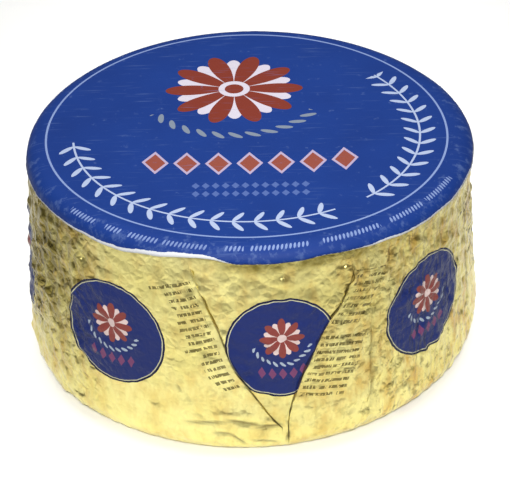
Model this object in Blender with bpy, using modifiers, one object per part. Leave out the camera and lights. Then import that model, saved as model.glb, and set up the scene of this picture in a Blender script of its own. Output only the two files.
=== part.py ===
"""A whole wheel of blue cheese, shut in one square of gold foil, with a round printed label pressed
over its top.

Metres, +Z up. The wheel stands on the XY plane with the middle of its footprint at the origin. One
of the foil's four corner folds faces -Y.
"""

import math

import bpy
import numpy as np

# The foil wheel's outline, turned about Z. The side leans out a little towards the foot.
WHEEL_HEIGHT = 0.1009
TOP_RADIUS = 0.0967
FOOT_RADIUS = 0.1010
SHOULDER_WIDTH = 0.0079
SHOULDER_DROP = 0.0052
FOOT_WIDTH = 0.0121
FOOT_RISE = 0.0113

# The label, a flat disc of paper laid a little off the middle and pressed down over the shoulder.
LABEL_RADIUS = 0.1003
LABEL_THICKNESS = 0.0004
LABEL_GAP = 0.0003
LABEL_SHIFT_X = -0.0014
LABEL_SHIFT_Y = 0.0008

# How the soft wheel has settled: shares of its radius, each with the direction of its long way.
TOP_OVAL = 0.0051
TOP_OVAL_DIRECTION = math.radians(-47)
THREE_LOBES = 0.0086
THREE_LOBES_DIRECTION = math.radians(-32)
FOOT_OVAL = 0.0237
FOOT_OVAL_DIRECTION = math.radians(51)
FOOT_SQUARE = 0.0057
TOP_SLOPE_X = -0.0074
TOP_SLOPE_Y = -0.0074

# The side has slumped a little towards -X, as a share of its radius, between the label and the foot.
SLUMP = 0.0105
SLUMP_TOP = 0.0965
SLUMP_TOP_LENGTH = 0.0100
SLUMP_FOOT = 0.0120
SLUMP_FOOT_LENGTH = 0.0300

# The corner folds. At each corner two flaps leave a tapering panel of foil between their edges.
FRONT_CORNER = math.radians(-84.5)
CORNER_SPREADS = (1.0, 0.92, 1.05, 0.87)
LEFT_FOLD_SPREAD = 0.0375
LEFT_FOLD_CURVE = 0.8
LEFT_FOLD_TOP = 0.0960
LEFT_FOLD_FOOT = 0.0150
LEFT_FOLD_BOW = 0.0018
LEFT_FOLD_BOW_HEIGHT = 0.0460
LEFT_FOLD_BOW_LENGTH = 0.0120
RIGHT_FOLD_SPREAD = 0.0320
RIGHT_FOLD_CURVE = 1.4
RIGHT_FOLD_TOP = 0.0875
RIGHT_FOLD_FOOT = 0.0180
RIGHT_FOLD_STOP = 0.0030
RIGHT_FOLD_MOST = 0.935
RIGHT_FOLD_BOW = 0.0022
RIGHT_FOLD_BOW_HEIGHT = 0.0725
RIGHT_FOLD_BOW_LENGTH = 0.0080
FLAP_STAND = 0.0010
FLAP_REACH = math.radians(30)
STEP_WIDTH = 0.0003
FADE_TOP = 0.0925
FADE_BOTTOM = 0.0020
FADE_LENGTH = 0.0085

# Broad shallow dents that handling leaves in foil over soft cheese.
DENT_DEPTH = 0.0003
DENT_WAVES = 9
DENT_SEED = 7
LEAST_AROUND = 5
MOST_AROUND = 15
MOST_UPWARD = 60

# How finely the shapes are divided.
WHEEL_COLUMNS = 144
LABEL_COLUMNS = 96
TURN_ROWS = 7
SIDE_ROWS = 10
LABEL_FLAT_RADIUS = 0.0860
LABEL_EDGE_ROWS = 9
COLUMN_ANGLE = 2 * math.pi / WHEEL_COLUMNS
LEFT_COLUMN = -6 * COLUMN_ANGLE
RIGHT_COLUMN = 5 * COLUMN_ANGLE
SHARP_ANGLE = math.radians(35)

COLLECTION = "blue_cheese_wheel"
FOIL_COLOUR = (0.80, 0.66, 0.27, 1.0)
FOIL_ROUGHNESS = 0.36
LABEL_COLOUR = (0.023, 0.063, 0.296, 1.0)
LABEL_ROUGHNESS = 0.42


def half_outline():
    """Radius and height along the wheel's outline, from the middle of the top to that of the base.

    The shoulder and the foot are quarter ellipses, joined by a straight side."""
    turn = np.linspace(0, math.pi / 2, TURN_ROWS)
    shoulder_radius = TOP_RADIUS - SHOULDER_WIDTH * (1 - np.sin(turn))
    shoulder_height = WHEEL_HEIGHT - SHOULDER_DROP * (1 - np.cos(turn))
    foot_radius = FOOT_RADIUS - FOOT_WIDTH * (1 - np.sin(turn[::-1]))
    foot_height = FOOT_RISE * (1 - np.cos(turn[::-1]))
    side_height = np.linspace(FADE_TOP, FOOT_RISE, SIDE_ROWS)[:-1]
    down = (shoulder_height[-1] - side_height) / (shoulder_height[-1] - FOOT_RISE)
    side_radius = TOP_RADIUS + (FOOT_RADIUS - TOP_RADIUS) * down
    radius = np.concatenate([[0], shoulder_radius, side_radius, foot_radius, [0]])
    height = np.concatenate([[WHEEL_HEIGHT], shoulder_height, side_height, foot_height, [0]])
    return radius, height


def smooth(share):
    """0 below 0 and 1 above 1, with a soft start and end between them."""
    share = np.clip(share, 0, 1)
    return share * share * (3 - 2 * share)


def settled(radius, angle, height):
    """Moves points of the true turned wheel to where they lie on the soft one, as an (n, 3) array.

    Each level is a circle plus a slight oval and three slight lobes. The oval grows towards the
    foot, where the spare foil of the four corners makes it slightly square. The side slumps to -X,
    and the top plane slopes."""
    up = height / WHEEL_HEIGHT
    below_top = smooth((SLUMP_TOP - height) / SLUMP_TOP_LENGTH)
    above_foot = smooth((height - SLUMP_FOOT) / SLUMP_FOOT_LENGTH)
    share = 1 + TOP_OVAL * np.cos(2 * (angle - TOP_OVAL_DIRECTION))
    share += THREE_LOBES * np.cos(3 * (angle - THREE_LOBES_DIRECTION))
    share += (1 - up) * FOOT_OVAL * np.cos(2 * (angle - FOOT_OVAL_DIRECTION))
    share += (1 - up) * FOOT_SQUARE * np.cos(4 * (angle - FRONT_CORNER))
    share -= SLUMP * below_top * above_foot * np.cos(angle)
    x = radius * share * np.cos(angle)
    y = radius * share * np.sin(angle)
    z = height + up * (TOP_SLOPE_X * x + TOP_SLOPE_Y * y)
    return np.stack([x, y, z], axis=-1)


def fade(height):
    """1 on the side of the wheel, falling to 0 under the label and at the base."""
    return smooth((FADE_TOP - height) / FADE_LENGTH) * smooth((height - FADE_BOTTOM) / FADE_LENGTH)


def bow(height, depth, middle, length):
    """A bell curve of the height, as deep as depth at its middle."""
    return depth * np.exp(-(((height - middle) / length) ** 2))


def fold_angles(height, spread):
    """How far the two folds lie from the corner's own line at this height, as angles.

    Each is a power of the share of the way up, plus a slight bow outwards."""
    left_share = (height - LEFT_FOLD_FOOT) / (LEFT_FOLD_TOP - LEFT_FOLD_FOOT)
    right_share = (height - RIGHT_FOLD_FOOT) / (RIGHT_FOLD_TOP - RIGHT_FOLD_FOOT)
    left = -spread * LEFT_FOLD_SPREAD * np.clip(left_share, 0, 1) ** LEFT_FOLD_CURVE
    left = left - bow(height, LEFT_FOLD_BOW, LEFT_FOLD_BOW_HEIGHT, LEFT_FOLD_BOW_LENGTH)
    right = spread * RIGHT_FOLD_SPREAD * np.clip(right_share, 0, RIGHT_FOLD_MOST) ** RIGHT_FOLD_CURVE
    right = right + bow(height, RIGHT_FOLD_BOW, RIGHT_FOLD_BOW_HEIGHT, RIGHT_FOLD_BOW_LENGTH)
    return left / TOP_RADIUS, (right + RIGHT_FOLD_STOP) / TOP_RADIUS


def drawn_to_folds(offset, height, spread):
    """Slides the columns near a corner sideways, so that two of them run along each fold.

    offset is a column's angle from the corner's line. The slide is linear between its stops."""
    left, right = fold_angles(height, spread)
    step = STEP_WIDTH / TOP_RADIUS
    reach = np.full_like(height, FLAP_REACH)
    stops = (
        (-FLAP_REACH, -reach),
        (LEFT_COLUMN, left),
        (LEFT_COLUMN + COLUMN_ANGLE, left + step),
        (RIGHT_COLUMN - COLUMN_ANGLE, right - step),
        (RIGHT_COLUMN, right),
        (FLAP_REACH, reach),
    )
    slid = offset.copy()
    for (start, start_at), (end, end_at) in zip(stops[:-1], stops[1:]):
        between = (offset >= start) & (offset < end)
        share = (offset - start) / (end - start)
        slid = np.where(between, start_at + share * (end_at - start_at), slid)
    return slid


def flap_stand(offset):
    """How proud the flaps stand: most at their edges, nothing on the panel or far from the corner."""
    stops = (
        -FLAP_REACH,
        LEFT_COLUMN,
        LEFT_COLUMN + COLUMN_ANGLE,
        RIGHT_COLUMN - COLUMN_ANGLE,
        RIGHT_COLUMN,
        FLAP_REACH,
    )
    return FLAP_STAND * np.interp(offset, stops, (0, 1, 0, 0, 1, 0))


def dents(angle, height):
    """A sum of cosines round and up the wheel, with waves from a fifth of the way round down."""
    random = np.random.default_rng(DENT_SEED)
    depth = np.zeros_like(angle)
    for _ in range(DENT_WAVES):
        around = random.integers(LEAST_AROUND, MOST_AROUND)
        upward = random.uniform(-MOST_UPWARD, MOST_UPWARD)
        start = random.uniform(0, 2 * math.pi)
        depth += np.cos(around * angle + upward * height + start)
    return DENT_DEPTH * depth / math.sqrt(DENT_WAVES)


def turned_mesh(radius, height, columns):
    """A closed mesh: an outline from the top down, on the axis at both ends, turned about Z."""
    outline = bpy.data.meshes.new("outline")
    points = [(float(r), 0.0, float(h)) for r, h in zip(radius, height)]
    outline.from_pydata(points, [(i, i + 1) for i in range(len(points) - 1)], [])
    guide = bpy.data.objects.new("outline", outline)
    bpy.context.scene.collection.objects.link(guide)
    turn = guide.modifiers.new("turn", "SCREW")
    turn.axis = "Z"
    turn.steps = columns
    turn.render_steps = columns
    turn.use_merge_vertices = True
    turn.merge_threshold = 0.00001
    graph = bpy.context.evaluated_depsgraph_get()
    mesh = bpy.data.meshes.new_from_object(guide.evaluated_get(graph))
    bpy.data.objects.remove(guide)
    bpy.data.meshes.remove(outline)
    return mesh


def coordinates(mesh):
    """The places of a mesh's vertices, as an (n, 3) array."""
    co = np.empty(len(mesh.vertices) * 3, np.float32)
    mesh.vertices.foreach_get("co", co)
    return co.reshape(-1, 3).astype(float)


def cylindrical(mesh):
    """The radius, angle and height of a mesh's vertices."""
    x, y, z = coordinates(mesh).T
    return np.hypot(x, y), np.arctan2(y, x), z


def move_vertices(mesh, points):
    """Gives a mesh's vertices new places."""
    mesh.vertices.foreach_set("co", points.astype(np.float32).ravel())
    mesh.update()


def wheel_mesh():
    """The foil wheel: turned, drawn to its folds, dented, then settled.

    The turned mesh's angle 0 is the front corner's line."""
    mesh = turned_mesh(*half_outline(), WHEEL_COLUMNS)
    radius, column, height = cylindrical(mesh)
    quarter = math.pi / 2
    corner = np.round(column / quarter).astype(int)
    offset = column - corner * quarter
    spread = np.array(CORNER_SPREADS)[corner % 4]
    stand = flap_stand(offset)
    angle = FRONT_CORNER + corner * quarter + drawn_to_folds(offset, height, spread)
    proud = fade(height) * (stand + dents(angle, height))
    move_vertices(mesh, settled(radius + proud, angle, height))
    return mesh


def on_outline(arc, stand):
    """The radius and height of points an arc's length down the outline from the top's middle.

    stand is how far off the foil they lie, square to it."""
    radius, height = half_outline()
    length = np.concatenate([[0], np.cumsum(np.hypot(np.diff(radius), np.diff(height)))])
    out = np.gradient(radius, length)
    down = -np.gradient(height, length)
    lean = np.arctan2(np.interp(arc, length, down), np.interp(arc, length, out))
    at_radius = np.interp(arc, length, radius) + stand * np.sin(lean)
    at_height = np.interp(arc, length, height) + stand * np.cos(lean)
    return at_radius, at_height


def label_mesh():
    """The label: a flat turned disc, shifted sideways, then laid over the top and the shoulder."""
    edge = np.linspace(LABEL_FLAT_RADIUS, LABEL_RADIUS, LABEL_EDGE_ROWS)
    radius = np.concatenate([[0], edge, edge[::-1], [0]])
    face = np.full(LABEL_EDGE_ROWS + 1, LABEL_THICKNESS)
    mesh = turned_mesh(radius, np.concatenate([face, 0 * face]), LABEL_COLUMNS)
    flat_radius, flat_angle, above = cylindrical(mesh)
    x = flat_radius * np.cos(flat_angle) + LABEL_SHIFT_X
    y = flat_radius * np.sin(flat_angle) + LABEL_SHIFT_Y
    at_radius, at_height = on_outline(np.hypot(x, y), LABEL_GAP + above)
    move_vertices(mesh, settled(at_radius, np.arctan2(y, x), at_height))
    return mesh


def surface(name, colour, roughness, metallic):
    """A Principled material."""
    made = bpy.data.materials.new(name)
    made.use_nodes = True
    shader = made.node_tree.nodes["Principled BSDF"]
    shader.inputs["Base Color"].default_value = colour
    shader.inputs["Roughness"].default_value = roughness
    shader.inputs["Metallic"].default_value = metallic
    made.diffuse_color = colour
    return made


def stand_on_origin(objects):
    """Shifts the meshes together, so that the middle of their footprint is the origin."""
    corners = []
    for obj in objects:
        corners.extend(tuple(corner) for corner in obj.bound_box)
    corners = np.array(corners)
    middle = (corners.min(axis=0) + corners.max(axis=0)) / 2
    for obj in objects:
        move_vertices(obj.data, coordinates(obj.data) - (middle[0], middle[1], 0))


def main():
    for obj in list(bpy.data.objects):
        bpy.data.objects.remove(obj, do_unlink=True)
    collection = bpy.data.collections.new(COLLECTION)
    bpy.context.scene.collection.children.link(collection)
    foil = surface("gold_foil", FOIL_COLOUR, FOIL_ROUGHNESS, 1.0)
    paper = surface("printed_label", LABEL_COLOUR, LABEL_ROUGHNESS, 0.0)
    parts = (("foil_wheel", wheel_mesh(), foil), ("top_label", label_mesh(), paper))
    objects = []
    for name, mesh, finish in parts:
        mesh.materials.append(finish)
        mesh.shade_smooth()
        mesh.set_sharp_from_angle(angle=SHARP_ANGLE)
        obj = bpy.data.objects.new(name, mesh)
        collection.objects.link(obj)
        objects.append(obj)
    bpy.context.view_layer.update()
    stand_on_origin(objects)


main()
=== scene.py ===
# %% [markdown]
# # A wheel of blue cheese in gold foil
# A whole soft wheel of cheese stands in one square of gold foil. The foil's four corners are folded
# down the side, and a round printed paper label is pressed over the top and the shoulder.
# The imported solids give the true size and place. This lesson dresses them with two surfaces worked out
# with numpy: the creased foil and the label. It begins by loading the fixed frame, and keeps its box
# so that the dressed wheel can be compared with it at the end.

# %% Load the fixed frame
import math

import bpy
import numpy as np
from mathutils import Matrix, Vector


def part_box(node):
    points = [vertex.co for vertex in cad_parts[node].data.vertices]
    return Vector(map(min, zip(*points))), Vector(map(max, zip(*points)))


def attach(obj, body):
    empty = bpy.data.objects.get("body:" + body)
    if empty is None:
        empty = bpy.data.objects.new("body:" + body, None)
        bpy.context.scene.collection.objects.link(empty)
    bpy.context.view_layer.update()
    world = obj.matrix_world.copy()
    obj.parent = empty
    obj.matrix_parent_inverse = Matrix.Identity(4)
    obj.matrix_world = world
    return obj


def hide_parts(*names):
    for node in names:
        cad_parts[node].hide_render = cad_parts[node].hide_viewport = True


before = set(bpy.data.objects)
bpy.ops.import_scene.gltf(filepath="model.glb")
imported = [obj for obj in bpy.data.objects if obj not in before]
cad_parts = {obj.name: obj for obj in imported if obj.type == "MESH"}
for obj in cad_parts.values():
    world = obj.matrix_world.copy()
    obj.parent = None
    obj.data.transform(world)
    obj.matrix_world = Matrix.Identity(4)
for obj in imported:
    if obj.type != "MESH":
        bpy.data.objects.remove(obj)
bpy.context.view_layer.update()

MM = 1000.0  # millimetres in a metre

# %% [markdown]
# ## The wheel's outline
# The wheel was cast in a round mould and has sagged a little: its side leans out towards the foot.
# A turned outline is enough for the true form. The shoulder and the foot are quarter ellipses and the
# side is straight, the same form that the solid has. Rows lie about 0.85 mm apart on the side, close
# enough for creases that are 2 mm wide, and far apart where the label or the floor hides the foil.

# %% The outline, from the middle of the top to the middle of the base
WHEEL_HEIGHT = 0.1009
TOP_RADIUS = 0.0967
FOOT_RADIUS = 0.1010
SHOULDER_WIDTH = 0.0079
SHOULDER_DROP = 0.0052
FOOT_WIDTH = 0.0121
FOOT_RISE = 0.0113
FLAT_RINGS = (0.03, 0.06, 0.08)
SHOULDER_ROWS = 10
SIDE_ROWS = 98
FOOT_ROWS = 18


def foil_outline():
    """Radius and height of each ring of the foil, from the top's first ring to the base's last.

    A quarter ellipse of sine and cosine turns each edge. The side between them is straight."""
    shoulder = np.linspace(0, math.pi / 2, SHOULDER_ROWS)
    foot = np.linspace(math.pi / 2, 0, FOOT_ROWS)
    shoulder_radius = TOP_RADIUS - SHOULDER_WIDTH * (1 - np.sin(shoulder))
    shoulder_height = WHEEL_HEIGHT - SHOULDER_DROP * (1 - np.cos(shoulder))
    foot_radius = FOOT_RADIUS - FOOT_WIDTH * (1 - np.sin(foot))
    foot_height = FOOT_RISE * (1 - np.cos(foot))
    side_radius = np.linspace(TOP_RADIUS, FOOT_RADIUS, SIDE_ROWS)[1:-1]
    side_height = np.linspace(shoulder_height[-1], FOOT_RISE, SIDE_ROWS)[1:-1]
    radius = np.concatenate([FLAT_RINGS, shoulder_radius, side_radius, foot_radius, FLAT_RINGS[::-1]])
    top = np.full(len(FLAT_RINGS), WHEEL_HEIGHT)
    height = np.concatenate([top, shoulder_height, side_height, foot_height, 0 * top])
    return radius, height


ring_radius, ring_height = foil_outline()
steps = np.hypot(np.diff(ring_radius, prepend=0), np.diff(ring_height, prepend=WHEEL_HEIGHT))
ring_arc = np.cumsum(steps)
print("rings:", len(ring_radius), "arc from top to base in mm:", round(MM * ring_arc[-1], 1))

# %% [markdown]
# ## How the wheel has settled
# No soft cheese is truly round. Each level is a circle with a slight oval and three slight lobes. The
# oval grows towards the foot, which the spare foil of four corners makes slightly square. The side has
# slumped a little to -X, and the top slopes a little.

# %% Settle a point of the true wheel
FRONT_CORNER = math.radians(-84.5)
TOP_OVAL = 0.0051
TOP_OVAL_DIRECTION = math.radians(-47)
THREE_LOBES = 0.0086
THREE_LOBES_DIRECTION = math.radians(-32)
FOOT_OVAL = 0.0237
FOOT_OVAL_DIRECTION = math.radians(51)
FOOT_SQUARE = 0.0057
TOP_SLOPE_X = -0.0074
TOP_SLOPE_Y = -0.0074
SLUMP = 0.0105
SLUMP_TOP = 0.0965
SLUMP_TOP_LENGTH = 0.0100
SLUMP_FOOT = 0.0120
SLUMP_FOOT_LENGTH = 0.0300


def smooth(share):
    """0 below 0 and 1 above 1, with a soft start and end between them."""
    share = np.clip(share, 0, 1)
    return share * share * (3 - 2 * share)


def settled(radius, angle, height):
    """Where a point of the true turned wheel lies on the soft one: share of radius, then the slope."""
    up = height / WHEEL_HEIGHT
    below_top = smooth((SLUMP_TOP - height) / SLUMP_TOP_LENGTH)
    above_foot = smooth((height - SLUMP_FOOT) / SLUMP_FOOT_LENGTH)
    share = 1 + TOP_OVAL * np.cos(2 * (angle - TOP_OVAL_DIRECTION))
    share = share + THREE_LOBES * np.cos(3 * (angle - THREE_LOBES_DIRECTION))
    share = share + (1 - up) * FOOT_OVAL * np.cos(2 * (angle - FOOT_OVAL_DIRECTION))
    share = share + (1 - up) * FOOT_SQUARE * np.cos(4 * (angle - FRONT_CORNER))
    share = share - SLUMP * below_top * above_foot * np.cos(angle)
    x = radius * share * np.cos(angle)
    y = radius * share * np.sin(angle)
    return np.stack([x, y, height + up * (TOP_SLOPE_X * x + TOP_SLOPE_Y * y)], axis=-1)


shoulder_front = settled(TOP_RADIUS, -math.pi / 2, WHEEL_HEIGHT)
print("front of the settled shoulder in mm:", np.round(MM * shoulder_front, 1))

# %% [markdown]
# ## The corner folds
# When a round thing is wrapped in a square of foil, each corner of the square gathers spare foil. Here
# it is laid in two flaps that meet low on the side and leave a tapering panel between their edges.
# The folds' places are curves of the height, measured from the corner's own line, and the right flap
# lies over the rest. A fold in thin foil is round, about a millimetre thick, with a dark gap below it,
# so the surface isn't only raised: its columns run under the edge and back over it.

# %% Where the folds lie at each height
CORNER_SPREADS = np.array((1.0, 0.92, 1.05, 0.87))
LEFT_FOLD_SPREAD = 0.0375
LEFT_FOLD_CURVE = 0.8
LEFT_FOLD_TOP = 0.0960
LEFT_FOLD_FOOT = 0.0150
RIGHT_FOLD_SPREAD = 0.0320
RIGHT_FOLD_CURVE = 1.4
RIGHT_FOLD_TOP = 0.0875
RIGHT_FOLD_FOOT = 0.0180
RIGHT_FOLD_STOP = 0.0030
RIGHT_FOLD_MOST = 0.935
# a bow's depth, the height of its middle, and its length
LEFT_FOLD_BOW = (0.0018, 0.0460, 0.0120)
RIGHT_FOLD_BOW = (0.0022, 0.0725, 0.0080)
FLAP_STAND = 0.0008
LEFT_FOLD_END = 0.0110
LEFT_FOLD_END_LENGTH = 0.0070
FLAP_REACH = math.radians(30)
FADE_TOP = 0.0925
FADE_BOTTOM = 0.0020
FADE_LENGTH = 0.0085
QUARTER = math.pi / 2


def fade(height):
    """1 on the side of the wheel, falling to 0 under the label and at the base."""
    return smooth((FADE_TOP - height) / FADE_LENGTH) * smooth((height - FADE_BOTTOM) / FADE_LENGTH)


def bow(height, depth, middle, length):
    """A bell curve of the height, as deep as depth at its middle."""
    return depth * np.exp(-(((height - middle) / length) ** 2))


def fold_angles(height, spread):
    """How far the folds lie from the corner's line: a power of the share of the way up, and a slight bow."""
    left_share = (height - LEFT_FOLD_FOOT) / (LEFT_FOLD_TOP - LEFT_FOLD_FOOT)
    right_share = (height - RIGHT_FOLD_FOOT) / (RIGHT_FOLD_TOP - RIGHT_FOLD_FOOT)
    left = -spread * LEFT_FOLD_SPREAD * np.clip(left_share, 0, 1) ** LEFT_FOLD_CURVE
    left = left - bow(height, *LEFT_FOLD_BOW)
    right = spread * RIGHT_FOLD_SPREAD * np.clip(right_share, 0, RIGHT_FOLD_MOST) ** RIGHT_FOLD_CURVE
    right = right + bow(height, *RIGHT_FOLD_BOW)
    return left / TOP_RADIUS, (right + RIGHT_FOLD_STOP) / TOP_RADIUS


# %% [markdown]
# Across a fold the sheet dips, runs under the flap, turns back, rounds the edge and becomes the flap's
# face. That cross-section is a short list of places along the side and off it, in shares of the flap's
# stand. The dip leaves an open groove along the edge, where the foil mirrors only itself: that is the
# dark line along a real fold, and shade is painted into it as well. The section shrinks to nothing where the
# fold fades.

# %% The cross-section of a fold, and the columns of one quarter
EDGE_RADIUS = 0.25
EDGE_HEIGHT = 0.75
GROOVE_INWARD = (-0.65, -0.15, 0.45, 1.2, 1.3, 0.85)
GROOVE_STAND = (-0.05, -0.65, -1.0, -0.9, -0.5, 0.2)
edge_turn = np.linspace(-math.pi / 2, math.pi / 2, 6)
edge_inward = EDGE_RADIUS * (1 - np.cos(edge_turn))
edge_stand = EDGE_HEIGHT + EDGE_RADIUS * np.sin(edge_turn)
fold_inward = np.concatenate([GROOVE_INWARD, edge_inward, (3 * EDGE_RADIUS, 6 * EDGE_RADIUS)])
fold_stand = np.concatenate([GROOVE_STAND, edge_stand, (1, 1)])
FOLD_COLUMNS = len(fold_inward)
HIDDEN_COLUMNS = len(GROOVE_INWARD)
flat_inward = np.linspace(-0.5, 0.5, FOLD_COLUMNS)
FLAP_COLUMNS = 53
PANEL_COLUMNS = 52
MEAN_LIFT = 0.85
# size, radians for each metre of height, start, and how far the start shifts from corner to corner
LIFT_WAVES = ((0.25, 95, -2.7, 1.9), (0.15, 230, -8.8, 1))
print("columns across one fold:", FOLD_COLUMNS, "across the panel:", PANEL_COLUMNS)


def lift_along(height, corner):
    """How far the flaps stand off along their folds, as a share: two slow waves, unlike at each corner.

    At the front corner both are highest a little below the middle of the disc."""
    lift = MEAN_LIFT
    for size, per_metre, start, shift in LIFT_WAVES:
        lift = lift + size * np.sin(per_metre * height + start + shift * corner)
    return lift


def quarter_columns(corner):
    """Offset from the corner's line, stand off the wheel, layer, and groove, by rings and columns.

    From left to right lie the left flap, its fold, the panel, the right fold and the right flap. A
    flap's stand falls evenly to nothing at FLAP_REACH. The layer is 1 on the panel, 0 on the flaps.
    The groove is 1 in the open dips under the edges. The left fold ends in the knot where the two
    meet, and the right one runs on to the foot."""
    height = ring_height[:, None]
    left, right = fold_angles(height, CORNER_SPREADS[corner])
    thickness = FLAP_STAND * fade(height) * lift_along(height, corner)
    left_thickness = thickness * smooth((height - LEFT_FOLD_END) / LEFT_FOLD_END_LENGTH)
    folds = []
    for edge, depth in ((left, left_thickness), (right, thickness)):
        spare = np.clip(FLAP_STAND - depth, 0, None)
        folds.append((depth * fold_inward + spare * flat_inward) / TOP_RADIUS)
    left_fold = left - folds[0][:, ::-1]
    right_fold = right + folds[1]
    share = np.linspace(0, 1, FLAP_COLUMNS, endpoint=False)
    left_flap = -QUARTER / 2 + share * (left_fold[:, :1] + QUARTER / 2)
    right_flap = right_fold[:, -1:] + share[1:] * (QUARTER / 2 - right_fold[:, -1:])
    share = np.linspace(0, 1, PANEL_COLUMNS + 2)[1:-1]
    panel = left_fold[:, -1:] + share * (right_fold[:, :1] - left_fold[:, -1:])
    left_stand = left_thickness * np.clip((left_flap + FLAP_REACH) / (left_fold[:, :1] + FLAP_REACH), 0, 1)
    right_stand = thickness * np.clip((FLAP_REACH - right_flap) / (FLAP_REACH - right_fold[:, -1:]), 0, 1)
    left_section = left_thickness * fold_stand[::-1]
    offset = np.concatenate([left_flap, left_fold, panel, right_fold, right_flap], axis=1)
    stand = np.concatenate([left_stand, left_section, 0 * panel, thickness * fold_stand, right_stand], axis=1)
    layer = np.zeros_like(offset)
    groove = np.zeros_like(offset)
    panel_start = FLAP_COLUMNS + FOLD_COLUMNS
    panel_end = panel_start + PANEL_COLUMNS
    layer[:, panel_start - HIDDEN_COLUMNS:panel_end + HIDDEN_COLUMNS] = 1
    groove[:, panel_start - HIDDEN_COLUMNS:panel_start - 1] = smooth(2 * left_thickness / FLAP_STAND)
    groove[:, panel_end + 1:panel_end + HIDDEN_COLUMNS] = smooth(2 * thickness / FLAP_STAND)
    return offset, stand, layer, groove


# %% [markdown]
# ## Creases
# Foil keeps every bend it is given. A crease is a straight ridge or valley with two nearly flat slopes,
# so it can be drawn as a small roof: its height falls evenly with the distance from its line, and ends
# softly along it. Noise would be quicker, but its round bumps look cast and not folded. Thousands of
# roofs are laid on an unrolled lattice of the side and added up. The left of the wheel, which was
# handled most, has many small ones, the front has a few broad ones, and the right has long upright
# streaks. The small ones thin out low on the side. The panel is another layer of the sheet, so its
# small crumples differ from the flaps', while the broad creases go through both layers. The cheese
# keeps the foil from standing off over any length, so waves longer than 1.4 cm are taken out of the sum.

# %% Lay roof-shaped creases on a lattice
# arcs are metres down the outline from the middle of the top
CELL = 0.0004
LATTICE_COLUMNS = round(2 * math.pi * TOP_RADIUS / CELL)
LATTICE_TOP = 0.086
LATTICE_FOOT = 0.206
LATTICE_ROWS = round((LATTICE_FOOT - LATTICE_TOP) / CELL)
CREASE_TAPER = 1.3
CALM_START = 0.152
CALM_LENGTH = 0.035


def lay_crease(lattice, angle, arc, half_length, half_width, rise, turn):
    """Adds one roof: its rise times how near its line, times how near its middle. turn is from level."""
    reach = math.ceil((half_length + half_width) / CELL)
    middle_column = round(angle * TOP_RADIUS / CELL)
    middle_row = round((arc - LATTICE_TOP) / CELL)
    rows = np.arange(max(middle_row - reach, 0), min(middle_row + reach, LATTICE_ROWS))
    columns = np.arange(middle_column - reach, middle_column + reach)
    across = CELL * (columns - middle_column)[None, :]
    down = CELL * (rows - middle_row)[:, None]
    along = across * math.cos(turn) + down * math.sin(turn)
    aside = down * math.cos(turn) - across * math.sin(turn)
    near_line = np.clip(1 - np.abs(aside) / half_width, 0, 1)
    roof = near_line * smooth(CREASE_TAPER - CREASE_TAPER * np.abs(along) / half_length)
    lattice[np.ix_(rows, columns % LATTICE_COLUMNS)] += rise * roof


def by_degrees(angle, stops):
    """A share that runs evenly between stops of degrees and share, all the way round."""
    degrees, share = zip(*stops)
    return np.interp(np.degrees(angle), degrees, share, period=360)


def calmer_below(arc, foot_share):
    """1 on the upper side, falling to foot_share low on the side."""
    return 1 - (1 - foot_share) * smooth((arc - CALM_START) / CALM_LENGTH)


def lay_family(lattice, random, count, crowding, foot_share, band, length, width, slope, lean, lean_spread):
    """Lays many creases between two arcs, more of them where the share that crowding gives is high.

    Half lengths, half widths and slopes are drawn between two ends. lean is in degrees from level."""
    for _ in range(count):
        angle = random.uniform(-math.pi, math.pi)
        arc = random.uniform(*band)
        half_length = random.uniform(*length)
        half_width = random.uniform(*width)
        rise = half_width * random.uniform(*slope) * random.choice((-1, 1))
        turn = math.radians(lean + lean_spread * random.standard_normal())
        if random.random() < by_degrees(angle, crowding) * calmer_below(arc, foot_share):
            lay_crease(lattice, angle, arc, half_length, half_width, rise, turn)


def without_broad(lattice, length):
    """Takes out the waves longer than a length: each keeps one less a bell curve of its count per length."""
    down = np.fft.fftfreq(LATTICE_ROWS, CELL)[:, None]
    across = np.fft.rfftfreq(LATTICE_COLUMNS, CELL)
    kept = 1 - np.exp(-((np.hypot(down, across) * length) ** 2))
    return np.fft.irfft2(kept * np.fft.rfft2(lattice), lattice.shape)


# %% The families of creases
EVERYWHERE = ((-180, 1), (180, 1))
CRUMPLED_LEFT = (
    (-180, 0.6), (-168, 0.7), (-160, 1), (-139, 1), (-131, 0.4), (-123, 0.08), (-106, 0.06), (-80, 0.12),
    (-66, 0.4), (0, 0.5), (90, 0.7), (150, 0.9),
)
SMOOTH_FRONT_LEFT = ((-180, 1), (-134, 1), (-125, 0.3), (-106, 0.3), (-98, 1), (0, 1))
STREAKED_RIGHT = ((-180, 0.3), (-120, 0.1), (-70, 0.4), (-58, 0.9), (-40, 1), (0, 1), (40, 0.6), (120, 0.4))
BROAD_FRONT = ((-180, 0.8), (-134, 0.8), (-125, 0.4), (-106, 0.5), (-90, 0.9), (-60, 1), (0, 0.8))
CRUMPLED_PANEL = ((-180, 0.45), (-100, 0.45), (-60, 0.45), (0, 0.6), (90, 0.7))
WHOLE_SIDE = (0.098, 0.196)
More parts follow.
